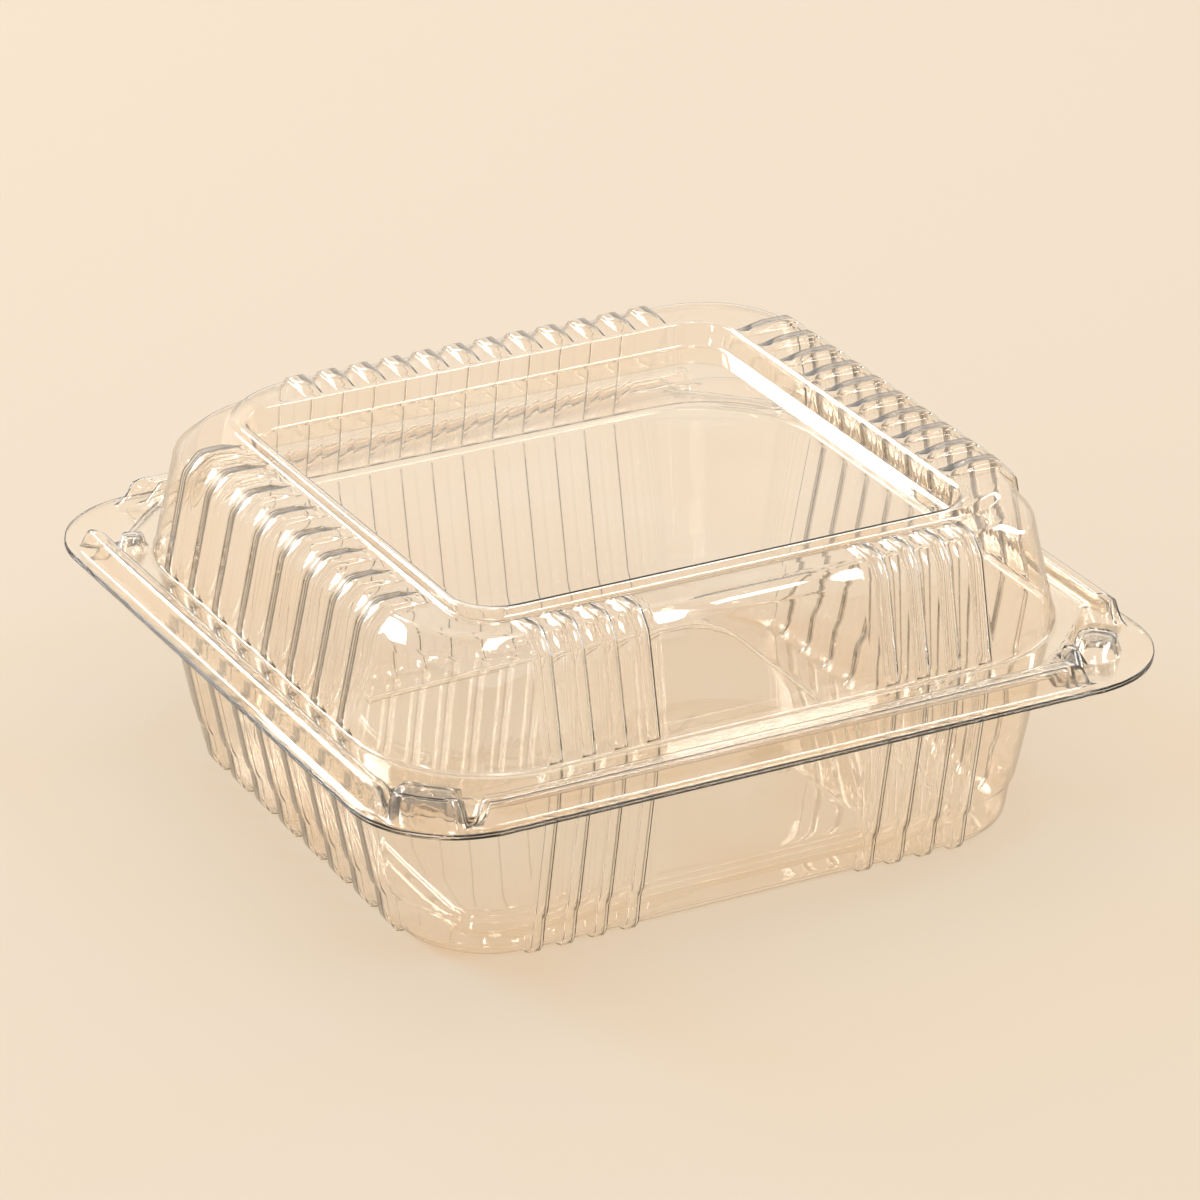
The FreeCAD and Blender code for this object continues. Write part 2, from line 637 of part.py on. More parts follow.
# The tray: its rim first, as a cap of one sheet that nests under the lid's rim.
tray_cap = new_body("tray_cap")
lip(tray_cap, "tray_lip", "lip_top - tray_back")
rim(tray_cap, "tray_cap", "tray_face", "bead_relief_side", "bead_relief_top")
tray_cap_core = new_body("tray_cap_core")
rim(tray_cap_core, "tray_cap_core", "tray_back", "bead_relief_side", "bead_relief_top")
tray_rim = cut_away("tray_rim", tray_cap, tray_cap_core)

# Then the pocket with its ribs, hollowed by the same form one sheet smaller.
tray_pocket_form = new_body("tray_pocket_form")
tray_pocket(tray_pocket_form, "tray_outer", "0")
floor_block(tray_pocket_form, "tray_floor_kick", "0", cut=True)
tray_core = new_body("tray_core")
tray_pocket(tray_core, "tray_inner", "gauge")
floor_block(tray_core, "tray_floor", "gauge", cut=True)
tray_outside = joined("tray_outside", [tray_rim, tray_pocket_form, rib_set("tray_ribs", tray_rib, "0")])
tray_inside = joined("tray_inside", [tray_core, rib_set("tray_rib_cores", tray_rib, "gauge")])
tray = cut_away("base_tray", tray_outside, tray_inside)
tray.Label = "base_tray"

# Work everything out, look at every feature and write the two pieces.
doc.recompute()
for feature in doc.Objects:
    if "Invalid" in feature.State or "Error" in feature.State:
        raise ValueError("%s does not work out" % feature.Name)
os.makedirs("parts", exist_ok=True)
for piece in (tray, lid):
    shape = piece.Shape
    if shape.isNull() or not shape.isValid() or len(shape.Solids) != 1:
        raise ValueError("%s is not one sound solid" % piece.Label)
    print(piece.Label, "volume %.0f mm3, %d faces" % (shape.Volume, len(shape.Faces)))
    shape.exportStep("parts/%s.step" % piece.Label)
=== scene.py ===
# %% [markdown]
# # A clear hinged food pack
# A pack for food from a bakery or a salad bar is formed from one clear plastic sheet: a ribbed tray and a
# ribbed domed lid, joined by a fold at the back. The imported model gives the place and the size of each
# half. This scene gives them their looks. It draws both halves again from the same sizes, with rounded
# bends and finer ribs, adds the fold, and sets the pack on a pale table in soft light.
#
# Start by loading the imported model and baking each piece's placement into its mesh.

# %% Start
import bpy
import math
import numpy as np
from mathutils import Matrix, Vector


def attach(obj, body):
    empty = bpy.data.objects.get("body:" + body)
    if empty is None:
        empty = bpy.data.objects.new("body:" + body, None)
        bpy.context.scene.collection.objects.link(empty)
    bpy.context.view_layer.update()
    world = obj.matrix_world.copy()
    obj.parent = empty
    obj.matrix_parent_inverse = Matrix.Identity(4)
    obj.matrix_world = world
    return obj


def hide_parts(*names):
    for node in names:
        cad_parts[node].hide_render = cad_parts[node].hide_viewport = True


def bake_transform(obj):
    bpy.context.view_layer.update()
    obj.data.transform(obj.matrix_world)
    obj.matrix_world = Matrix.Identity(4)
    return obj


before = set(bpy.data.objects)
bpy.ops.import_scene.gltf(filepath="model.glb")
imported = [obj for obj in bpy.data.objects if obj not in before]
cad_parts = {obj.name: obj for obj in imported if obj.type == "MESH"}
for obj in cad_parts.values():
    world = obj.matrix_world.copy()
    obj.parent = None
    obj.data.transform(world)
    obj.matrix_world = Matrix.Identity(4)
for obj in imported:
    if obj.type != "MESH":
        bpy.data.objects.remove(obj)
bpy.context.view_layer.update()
print("pieces in the packed model:", sorted(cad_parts))

# %% [markdown]
# ## Sizes of the pack
# All lengths are in millimetres. A level of the form is an outline at one height: half length, half depth
# and corner radius. Its corners narrow with the walls, as they do on a mould cut with one tapered cutter. A
# maker would draw the same levels on a section through the mould, so they are kept here as a short list and
# not as drawn curves.

# %% Sizes
PER_METRE = 1000
GAUGE = 0.4
AIR = 0.3
LIP = (90.0, 90.0, 23.0)
LID_LIP_TOP = 43.15
RAIL_FOOT = (87.8, 87.8, 21.5)
RAIL_TOP = (86.6, 86.6, 21.5)
RAIL_INNER_TOP = (84.0, 84.0, 19.5)
RAIL_INNER_FOOT = (82.8, 82.8, 19.5)
RAIL_HEIGHT = 48.4
PLATFORM = 45.6
CREST = 73.3
PANEL = 68.3
BEND = 0.55
print("the pack is", 2 * LIP[0], "mm wide, its sheet", GAUGE, "mm thick")

# %% [markdown]
# ## Reading a formed sheet as heights
# A sheet drawn over a mould has no undercuts, so every point of the table has one height of sheet above it.
# The form can then be written as a function from a place on the table to a height. First comes the distance
# from a round-cornered outline, which tells how far inside or outside it a point lies.

# %% Outlines
def distance(x, y, level):
    """Distance from a round-cornered outline, negative inside it. A level may give all four sides."""
    if len(level) == 3:
        west = east = level[0]
        south = north = level[1]
        radii = (level[2],) * 4
    else:
        west, east, south, north, radii = level
    across = x - (east - west) / 2
    along = y - (north - south) / 2
    radius = np.where(across < 0, np.where(along < 0, radii[0], radii[3]),
                      np.where(along < 0, radii[1], radii[2]))
    out_x = np.abs(across) - ((east + west) / 2 - radius)
    out_y = np.abs(along) - ((north + south) / 2 - radius)
    corner = np.hypot(np.maximum(out_x, 0), np.maximum(out_y, 0))
    return corner + np.minimum(np.maximum(out_x, out_y), 0) - radius


print("the middle lies", -float(distance(0.0, 0.0, LIP)), "mm inside the lip")

# %% [markdown]
# Walls are ramps between two outlines. Several ramps above each other make a mound, and the highest of
# several mounds wins, as on a mould built up from blocks. A soft rise does for the small forms, whose edges
# are all rounding.

# %% Ramps and mounds
def ramp(x, y, outer, inner):
    """0 at and outside the outer outline, 1 at and inside the inner one."""
    far = distance(x, y, outer)
    near = distance(x, y, inner)
    return np.clip(-far / np.maximum(near - far, 1e-6), 0, 1)


def mound(x, y, levels):
    """Height of a form stepped through several levels, each an outline and a height; -1 outside it."""
    height = levels[0][1] + 0.0 * x
    for (outer, low), (inner, high) in zip(levels, levels[1:]):
        height = height + (high - low) * ramp(x, y, outer, inner)
    return np.where(distance(x, y, levels[0][0]) <= 0, height, -1.0)


def soft(value):
    """A rise from 0 to 1 with a rounded start and end."""
    value = np.clip(value, 0, 1)
    return value * value * (3 - 2 * value)


print("a soft rise passes", float(soft(0.25)), float(soft(0.5)), float(soft(0.75)))

# %% [markdown]
# ## The lid's section
# From outside in: a flat lip, a raised rail that grips the tray, a low platform, the domed wall, a soft
# shoulder, a flat ring, a thin raised crest and a sunk panel on which another pack can stand. The crest
# runs out level to the walls at the back and on the right, so there the wall meets the top directly.

# %% Lid section
DOME = [((78.4, 74.3, 29.0), PLATFORM), ((73.5, 69.4, 24.1), 67.8), ((70.3, 66.2, 24.1), 71.2)]
PLATEAU = [((64.4, 78.1, 62.4, 74.0, (13.0, 23.9, 23.9, 23.9)), PLATFORM),
           ((60.5, 74.2, 58.5, 70.1, (9.1, 20.0, 20.0, 20.0)), 69.6),
           ((58.9, 70.7, 56.9, 66.6, (9.1, 20.0, 20.0, 20.0)), CREST)]
PANEL_EDGE = ((57.5, 56.1, 9.5), (55.8, 54.4, 7.8))


def lid_section(x, y):
    """Height of the lid's outer face without its ribs, bead and snaps."""
    z = LID_LIP_TOP + (RAIL_HEIGHT - LID_LIP_TOP) * ramp(x, y, RAIL_FOOT, RAIL_TOP)
    z = z - (RAIL_HEIGHT - PLATFORM) * ramp(x, y, RAIL_INNER_TOP, RAIL_INNER_FOOT)
    z = np.maximum(np.maximum(z, mound(x, y, DOME)), mound(x, y, PLATEAU))
    return z - (CREST - PANEL) * ramp(x, y, *PANEL_EDGE)


print("lid: lip", float(lid_section(89.0, 0.0)), "crest", float(lid_section(63.0, 0.0)),
      "panel", float(lid_section(0.0, 0.0)), "mm high")

# %% [markdown]
# ## The tray's section
# The tray's outer face is read from below: lip, the bead that fills the lid's rail, the platform, then the
# deep pocket, a small step near the foot, a soft heel and a floor whose middle is raised. The raised floor
# keeps the pack standing on a rim, as formed packs do, because a flat floor would rock.

# %% Tray section
TRAY_LIP = 42.05
BEAD_RISE = 5.0
BEAD_FALL = 2.55
BEAD = ((86.9, 86.9, 21.5), (85.7, 85.7, 21.5))
BEAD_INNER = ((85.1, 85.1, 19.5), (83.9, 83.9, 19.5))
POCKET = [((78.1, 74.0, 29.0), 44.5), ((71.4, 67.3, 22.3), 10.6), ((70.4, 66.3, 21.3), 9.2),
          ((69.3, 65.2, 20.2), 2.2), ((67.4, 63.3, 18.3), 0.0)]
FLOOR_EDGE = ((57.7, 53.9, 9.0), (56.7, 52.9, 8.0))
FLOOR_RISE = 2.4


def tray_section(x, y):
    """Height of the tray's lower face without its ribs and snaps."""
    z = TRAY_LIP + BEAD_RISE * ramp(x, y, *BEAD) - BEAD_FALL * ramp(x, y, *BEAD_INNER)
    pocket = mound(x, y, POCKET)
    z = np.where(pocket > -1, np.minimum(z, pocket), z)
    return z + FLOOR_RISE * ramp(x, y, *FLOOR_EDGE)


print("tray: lip", float(tray_section(89.0, 0.0)), "floor", float(tray_section(0.0, 0.0)), "mm high")

# %% [markdown]
# ## Snaps at the corners
# The rail is broken at each corner, level with the lip, to make room for a snap. Each break is blended into
# the face instead of cut out of it, because a formed sheet has no sharp seams. Beside the fold the tray's
# bead stops a little earlier than the lid's rail, so that the lid can swing.

# %% Corner breaks
BREAKS = [(-1, -1, 107.0, 9.8), (1, -1, 100.4, 15.5), (-1, 1, 103.0, 12.4), (1, 1, 103.0, 12.4)]
BREAK_OUT = 130
BREAK_CORNER = 2.4
FOLD_RELIEF = 2.9
EDGE = 0.9


def across_corner(x, y, east, north):
    """Distance out along a corner's diagonal, and along the corner."""
    return (x * east + y * north) / math.sqrt(2), (x * east - y * north) / math.sqrt(2)


def breaks(x, y, z, lip, shrink):
    """Bring the rail down to the lip at the four corners."""
    for east, north, inner, half in BREAKS:
        out, along = across_corner(x, y, east, north)
        wide = half + shrink + (FOLD_RELIEF if north > 0 and shrink > 0 else 0)
        near = inner - shrink
        bar = (wide, (BREAK_OUT - near) / 2, BREAK_CORNER)
        inside = -distance(along, out - (near + BREAK_OUT) / 2, bar)
        slope = 3 * EDGE if north > 0 else EDGE
        z = z + (np.minimum(lip, z) - z) * soft(inside / slope + 0.5)
    return z


print(len(BREAKS), "breaks in the rail")

# %% [markdown]
# The snaps are raised forms that press into each other under a thumb. The near corner has a long block across
# it, the right one a broad button and a small knob, and the two at the back a button each on the platform.
# A block is a round-cornered bar laid across the corner's diagonal, and a button is a disc.

# %% Block and buttons
BLOCK_OUT = 112.29
BLOCK = (7.4, 3.5, 2.8)
BLOCK_TOP = 49.75
BLOCK_ZONE = 7
BUTTONS = [(-79.4, 59.9, 2.8, RAIL_HEIGHT), (79.4, 59.9, 2.8, RAIL_HEIGHT),
           (75.4, -74.6, 4.6, 46.85), (66.9, -78.3, 2.1, 47.55)]


def snaps(x, y, z, drop=0.0, shrink=0.0):
    """Put the breaks, the block and the buttons into a face that lies a little under the lid's."""
    z = breaks(x, y, z, LID_LIP_TOP - drop, shrink)
    out, along = across_corner(x, y, -1, -1)
    inside = -distance(along, out - BLOCK_OUT, tuple(side - shrink for side in BLOCK))
    z = z + (BLOCK_TOP - drop - z) * soft(inside / EDGE + 0.5) * (np.abs(out - BLOCK_OUT) < BLOCK_ZONE)
    for middle_x, middle_y, radius, top in BUTTONS:
        inside = radius - shrink - np.hypot(x - middle_x, y - middle_y)
        z = z + (top - drop - z) * soft(inside / EDGE + 0.5)
    return z


print("block top", float(snaps(np.array(-79.4), np.array(-79.4), np.array(PLATFORM))), "mm high")

# %% [markdown]
# ## Ribs
# Ribs stiffen the thin walls. On the mould they are shallow bars at an even pitch, closer on some sides
# than on others. A rib is written as a swelling of the wall, square to it: none between ribs, full over a
# rib's width, and fading out at its tip. Moving the sheet's own points keeps it one closed sheet, which
# added bars would not.

# %% Ribs
RIBS = {
    "left": {"proud": 1.2, "width": 5.6, "middles": [11.8 * (i - 3.5) for i in range(8)], "tip": 61.2},
    "right": {"proud": 1.2, "width": 4.6, "middles": [9.5 * (i - 4.5) + 2.0 for i in range(10)], "tip": 60.4},
    "back": {"proud": 0.9, "width": 3.9, "middles": [7.5 * (i - 5.5) + 3.5 for i in range(12)], "tip": 59.0},
    "front": {"proud": 1.1, "width": 3.0, "middles": [s * (27.2 + 7.2 * i) for s in (-1, 1) for i in range(4)],
              "tip": 59.2},
}
FLANK = 0.55
FOOT_FADE = 0.8
RIBS_BEGIN = 50


def swelling(across, outward, height, side, low, tip=True):
    """How far a side's ribs stand out: across them, outward from the middle, above a foot height."""
    rib = RIBS[side]
    half = rib["width"] / 2
    short = np.maximum(rib["tip"] + half - outward, 0) if tip else 0 * outward
    full = 0 * outward
    for middle in rib["middles"]:
        away = np.hypot(across - middle, short)
        full = np.maximum(full, soft((half - away) / FLANK + 0.5))
    return rib["proud"] * full * (outward > RIBS_BEGIN) * soft((height - low) / FOOT_FADE + 0.5)


def all_ribs(x, y, height, low, tip=True):
    """The swelling of whichever side's rib a point lies on."""
    places = {"left": (y, -x), "front": (x, -y), "right": (y, x), "back": (x, y)}
    return np.maximum.reduce([swelling(*place, height, side, low, tip) for side, place in places.items()])


print("ribs on each half:", sum(len(rib["middles"]) for rib in RIBS.values()))

# %% [markdown]
# The lid also has one long low bead on its front shoulder, which keeps the widest plain stretch from
# buckling. The tray's ribs run the whole height of the pocket and fade out on the floor.

# %% Pushing the sheets out
BEAD_HALF_LENGTH = 12.9
BEAD_MIDDLE = -67.8
BEAD_HALF_WIDTH = 2.1
BEAD_SQUEEZE = 1.35
BEAD_PROUD = 0.9
BEAD_FADE = 0.8
DOME_MARGIN = 0.9
LID_RIB_FOOT = 0.6
POCKET_MARGIN = 0.6
RIB_FLOOR_END = (64.0, 60.0, 16.0)
FLOOR_FADE = 3
TRAY_RIB_TOP = 43.4


def shoulder_bead(x, y):
    """The long low bead on the front shoulder."""
    away = np.hypot(np.maximum(np.abs(x) - BEAD_HALF_LENGTH, 0), (y - BEAD_MIDDLE) * BEAD_SQUEEZE)
    return BEAD_PROUD * soft((BEAD_HALF_WIDTH - away) / BEAD_FADE + 0.5)


def lid_push(x, y, z):
    """How far the lid's ribs and bead push a point out."""
    on_dome = distance(x, y, DOME[0][0]) < DOME_MARGIN
    return all_ribs(x, y, z, PLATFORM + LID_RIB_FOOT) * on_dome + shoulder_bead(x, y)


def tray_push(x, y, z):
    """How far the tray's ribs push a point out and down."""
    on_wall = soft(distance(x, y, RIB_FLOOR_END) / FLOOR_FADE) * (distance(x, y, POCKET[0][0]) < POCKET_MARGIN)
    return -all_ribs(x, y, TRAY_RIB_TOP - z, 0, tip=False) * on_wall


print("bead stands", float(shoulder_bead(np.array(0.0), np.array(BEAD_MIDDLE))), "mm proud")

# %% [markdown]
# ## From heights to a sheet
# A plain grid of squares would cut across every bend and rib. The sheet is sampled along lines instead,
# which run out from the middle, square to each side, and fan round the four corners. The lines stand close
# together on the ribs' flanks and wide apart elsewhere.

# %% Section lines
PIVOT = (51.4, 47.6)
FLANK_STEPS = (-0.55, -0.18, 0.18, 0.55)
LINE_PITCH = 1.2
CORNER_LINES = 44
FRONT_PLAIN = np.linspace(-23, 23, 13).tolist()


def rib_stations(side):
    """Places along a side where the lines stand close together on the flanks of its ribs."""
    half = RIBS[side]["width"] / 2
    steps = [edge + step * FLANK for edge in (-half, half) for step in FLANK_STEPS]
    return [middle + step for middle in RIBS[side]["middles"] for step in steps]


def even_places(first, last):
    """Even places from one end of a plain stretch to the other, both ends included."""
    count = max(int((last - first) / LINE_PITCH), 2)
    return np.linspace(first, last, count + 1).tolist()


def section_lines():
    """Start and direction of every line, in order round the pack from the front's left end."""
    limit_x, limit_y = PIVOT
    runs = [(rib_stations("front") + FRONT_PLAIN, (0, -1), limit_x),
            (rib_stations("right"), (1, 0), limit_y),
            ([-place for place in rib_stations("back")], (0, 1), limit_x),
            ([-place for place in rib_stations("left")], (-1, 0), limit_y)]
    lines = []
    for turn, (places, (east, north), limit) in enumerate(runs):
        places = sorted(places)
        for place in even_places(-limit, places[0])[:-1] + places + even_places(places[-1], limit)[1:]:
            start = (east * limit_x - north * place, north * limit_y + east * place)
            lines.append((start, (east, north)))
        corner = (limit_x * (east - north), limit_y * (east + north))
        for step in range(1, CORNER_LINES):
            angle = math.radians(90 * (turn - 1) + 90 * step / CORNER_LINES)
            lines.append((corner, (math.cos(angle), math.sin(angle))))
    return lines


print("section lines round the pack:", len(section_lines()))

# %% [markdown]
# A formed bend is never sharp: the sheet is rounded by about its own thickness. Each line's section is
# averaged along its length, which rounds every bend by the same amount. A bevel would have to be set edge
# by edge.

# %% Rounding the bends
ROUND_OVER = 4


def round_off(section, step, radius):
    """Round a section's bends by averaging it along its length, over a few radii to each side."""
    pad = int(ROUND_OVER * radius / step)
    head = section[:1] + (section[:1] - section[1:pad + 1])[::-1]
    tail = section[-1:] + (section[-1:] - section[-pad - 1:-1])[::-1]
    padded = np.concatenate([head, section, tail])
    kernel = np.exp(-0.5 * (np.arange(-pad, pad + 1) * step / radius) ** 2)
    kernel /= kernel.sum()
    return np.stack([np.convolve(padded[:, k], kernel, mode="valid") for k in (0, 1)], axis=1)


print("bends are rounded by about", BEND, "mm")

# %% [markdown]
# Along a line the heights are first read every twentieth of a millimetre, out to the lip. Steep walls would
# get few points that way, so the section is divided again by its own length before its bends are rounded.

# %% Section along a line
REACH_START = 1.0
REACH_END = 66.0
REACH_STEP = 0.05
RUN_STEP = 0.1


def on_line(start, direction, reach):
    """Points a given reach along a line."""
    return start[0] + direction[0] * reach, start[1] + direction[1] * reach


def line_reach(start, direction):
    """Close steps along a line, out to the lip's edge."""
    reach = np.arange(REACH_START, REACH_END, REACH_STEP)
    return reach[distance(*on_line(start, direction, reach), LIP) <= 0]


def rounded_section(height_of, start, direction, reach):
    """Reach and height at even steps along the section, with its bends rounded."""
    section = np.stack([reach, height_of(*on_line(start, direction, reach))], axis=1)
    run = np.concatenate([[0], np.cumsum(np.hypot(*np.diff(section, axis=0).T))])
    fine = np.arange(0, run[-1], RUN_STEP)
    even = np.stack([np.interp(fine, run, section[:, k]) for k in (0, 1)], axis=1)
    return round_off(even, RUN_STEP, BEND)


print("steps out to the front lip:", len(line_reach((0.0, -PIVOT[1]), (0, -1))))

# %% [markdown]
# Every line gets the same number of rows, so that neighbours join up in squares. On the rim the rows keep
# fixed distances from the lip's edge, close together on the rail. On the dome they crowd where the section
# bends most.

# %% Sampling a line
RIM_ROWS = 46
DOME_ROWS = 43
BEND_WINDOW = 13
BEND_WEIGHT = 16
PLAIN_WEIGHT = 0.11
DOME_END = 1.0
SPREAD_STEPS = 800
SPREAD_FLOOR = 0.35
RAIL_DENSE = ((2.2, 0.7), (3.4, 0.7), (6.0, 0.7), (7.2, 0.7), (4.7, 2.0))
FOOT_DENSE = (2.0, 3.0)
LIP_DENSE = 0.5


def spread(total, rows, dense):
    """Shares from 0 to 1 at which rows lie, closer together within the dense spans."""
    fine = np.linspace(0, total, SPREAD_STEPS)
    weight = SPREAD_FLOOR + sum(np.exp(-((fine - middle) / width) ** 2) for middle, width in dense)
    share = np.cumsum(weight)
    return np.interp(np.linspace(share[0], share[-1], rows), share, fine) / total


def bend_weight(heading):
    """How closely rows should lie at each place of a section: closest where it bends."""
    window = np.ones(BEND_WINDOW) / BEND_WINDOW
    bend = np.convolve(np.abs(np.gradient(heading)), window, mode="same")
    return bend * BEND_WEIGHT + PLAIN_WEIGHT


def sample_line(height_of, start, direction, foot):
    """Rows of one section line, from the middle out: distance out, height, and the way the wall faces."""
    reach = line_reach(start, direction)
    section = rounded_section(height_of, start, direction, reach)
    slope = np.gradient(section, axis=0)
    heading = np.unwrap(np.arctan2(slope[:, 1], slope[:, 0]))
    dome_end = reach[np.argmax(distance(*on_line(start, direction, reach), foot) > DOME_END)]
    split = int(np.argmax(section[:, 0] > dome_end))
    progress = np.cumsum(bend_weight(heading)[:split])
    progress = (progress - progress[0]) / (progress[-1] - progress[0])
    inner = np.interp(np.linspace(0, 1, DOME_ROWS), progress, np.arange(split))
    width = section[-1, 0] - dome_end
    dense = [(width - place, reach) for place, reach in RAIL_DENSE] + [FOOT_DENSE, (width, LIP_DENSE)]
    out = dome_end + width * spread(width, RIM_ROWS + 1, dense)[1:]
    outer = np.interp(out, section[split:, 0], np.arange(split, len(section)))
    at = np.concatenate([inner, outer])
    index = np.arange(len(section))
    wanted = (section[:, 0], section[:, 1], -np.sin(heading), np.cos(heading))
    return [np.interp(at, index, values) for values in wanted]


first_line = section_lines()[0]
print("rows on a line:", len(sample_line(lid_section, *first_line, DOME[0][0])[0]))

# %% [markdown]
# ## Closing the sheet
# The ribs push the points out square to the wall, then the snaps go in. Rings of points are joined to a
# skin, with a few plain rings for the flat middle, and a Solidify modifier adds the second skin one gauge
# away. That is how the real sheet is made as well: one face touches the mould, and the other follows at the
# sheet's own thickness.

# %% Build a sheet
MIDDLE_RINGS = (0.25, 0.5, 0.75, 0.97)


def sheet_rings(height_of, foot, push, finish):
    """Rings of points, in millimetres, from the middle to the lip's edge."""
    lines = section_lines()
    rings = np.zeros((DOME_ROWS + RIM_ROWS, len(lines), 3))
    for k, (start, direction) in enumerate(lines):
        out, z, facing_out, facing_up = sample_line(height_of, start, direction, foot)
        x, y = on_line(start, direction, out)
        rise = push(x, y, z)
        x = x + direction[0] * facing_out * rise
        y = y + direction[1] * facing_out * rise
        rings[:, k] = np.stack([x, y, finish(x, y, z + facing_up * rise)], axis=1)
    middle = [rings[0] * (share, share, 1.0) for share in MIDDLE_RINGS]
    return middle + list(rings)


def make_sheet(name, rings, side):
    """A closed sheet of one gauge, its second skin above (1) or below (-1) the drawn face."""
    count = len(rings[0])
    centre = np.array([[0.0, 0.0, rings[0][0, 2]]])
    verts = np.concatenate([centre] + rings) / PER_METRE
    faces = []
    for k in range(count):
        after = (k + 1) % count
        faces.append((0, 1 + k, 1 + after))
        for r in range(len(rings) - 1):
            a = 1 + r * count
            b = a + count
            faces.append((a + k, b + k, b + after, a + after))
    mesh = bpy.data.meshes.new(name)
    mesh.from_pydata(verts.tolist(), [], faces)
    mesh.polygons.foreach_set("use_smooth", [True] * len(mesh.polygons))
    mesh.update()
    sheet = bpy.data.objects.new(name, mesh)
    bpy.context.collection.objects.link(sheet)
    skin = sheet.modifiers.new("gauge", "SOLIDIFY")
    skin.thickness = GAUGE / PER_METRE
    skin.offset = side
    print(name, "has", len(faces), "faces before its second skin")
    return sheet


# %% [markdown]
# The lid is drawn by its outer face and gets its second skin below. The snaps belong to the same face.

# %% Lid
lid = make_sheet("clear_lid", sheet_rings(lid_section, DOME[0][0], lid_push, snaps), -1.0)
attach(lid, "cover")
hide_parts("lid")

# %% [markdown]
# The tray is drawn by its lower face and gets its second skin above. Its rim repeats the lid's snaps, one
# clearance and two gauges lower and a little narrower, so that the two nest.

# %% Tray
RIM_DROP = 2 * GAUGE + AIR
RIM_SHRINK = 0.9
RIM_STARTS = 0.3


def tray_finish(x, y, z):
    """Snaps on the tray's rim, and nothing of the pocket below the table."""
    rim = snaps(x, y, z, RIM_DROP, RIM_SHRINK)
    return np.where(distance(x, y, POCKET[0][0]) > RIM_STARTS, rim, np.maximum(z, 0.0))


tray = make_sheet("clear_tray", sheet_rings(tray_section, POCKET[0][0], tray_push, tray_finish), 1.0)
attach(tray, "tray")
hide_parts("base_tray")

# %% [markdown]
# ## The fold
# Tray and lid are formed from one sheet and joined along the back by a fold that is pressed thin, so that
# it bends. It is drawn as a half-round strip from lip to lip, its lower edge at the tray's lip and its upper
# edge at the lid's, where the closed pack has it. It stands on its own and belongs to neither half.

# %% Fold
FOLD_ROWS = 9
FOLD_HALF_LENGTH = 66.0
FOLD_BULGE = 0.62
FOLD_HALF_HEIGHT = 0.35
FOLD_MIDDLE = 42.6
FOLD_THICKNESS = 0.15


def make_fold():
    """A half-round strip of thin sheet from the tray's lip to the lid's."""
    verts, faces = [], []
    for row in range(FOLD_ROWS):
        turn = math.pi * row / (FOLD_ROWS - 1)
        y = LIP[1] + FOLD_BULGE * math.sin(turn)
        z = FOLD_MIDDLE - FOLD_HALF_HEIGHT * math.cos(turn)
        verts += [(end * FOLD_HALF_LENGTH / PER_METRE, y / PER_METRE, z / PER_METRE) for end in (-1, 1)]
    for row in range(FOLD_ROWS - 1):
        faces.append((2 * row, 2 * row + 1, 2 * row + 3, 2 * row + 2))
    mesh = bpy.data.meshes.new("back_fold")
    mesh.from_pydata(verts, [], faces)
    mesh.polygons.foreach_set("use_smooth", [True] * len(faces))
    strip = bpy.data.objects.new("back_fold", mesh)
    bpy.context.collection.objects.link(strip)
    skin = strip.modifiers.new("gauge", "SOLIDIFY")
    skin.thickness = FOLD_THICKNESS / PER_METRE
    skin.offset = 0.0
    return strip


fold = make_fold()
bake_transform(fold)
print("the fold is", 2 * FOLD_HALF_LENGTH, "mm long")

# %% [markdown]
# ## Clear PET
# The pack is clear amorphous PET sheet, formed over a polished mould and not treated afterwards, so both
# faces are mirror smooth and every bend shows a narrow highlight. PET bends light with an index of 1.57.
# Seen square on, the sheet is almost colourless. Towards its edges it is painted warm and dark: painted shade
# for the dark lines that light, bent and reflected inside the curved sheet, draws along rims and ribs.
#
# Colours are picked as web colours, which a shader takes as linear values. One small function adds a node
# with its settings, its values and its links, so that each node below reads as one sentence.

# %% Node helpers
def linear(code):
    """A web colour as the linear values a shader takes."""
    parts = [int(code[i:i + 2], 16) / 255 for i in (1, 3, 5)]
    return [p / 12.92 if p <= 0.04045 else ((p + 0.055) / 1.055) ** 2.4 for p in parts] + [1.0]


def add_node(tree, kind, settings=None, values=None, links=None):
    """A node with settings of its own, values on its inputs and links into them."""
    node = tree.nodes.new(kind)
    for key, value in (settings or {}).items():
        setattr(node, key, value)
    for key, value in (values or {}).items():
        node.inputs[key].default_value = value
    for key, socket in (links or {}).items():
        tree.links.new(socket, node.inputs[key])
    return node


# The darkest painted shade at the sheet's edge, as linear values.
print("warm edge colour:", [round(part, 3) for part in linear("#473C32")])

# %% [markdown]
# Two faint patterns keep the sheet from looking like glass. Where it was drawn thin or thick it is a little
# less or more tinted, in soft patches about 26 mm across. Drawing also leaves shallow waves, which run down
# the walls: about 22 mm from one to the next and 125 mm long. Both scales are whole numbers of cells to a
# metre.

# %% Patterns in the sheet
PATCH_CELLS = round(PER_METRE / 26.3)
WAVE_CELLS = (round(PER_METRE / 22.2), round(PER_METRE / 22.2), round(PER_METRE / 125))
WAVE_STRENGTH = 0.12
WAVE_HEIGHT = 0.2

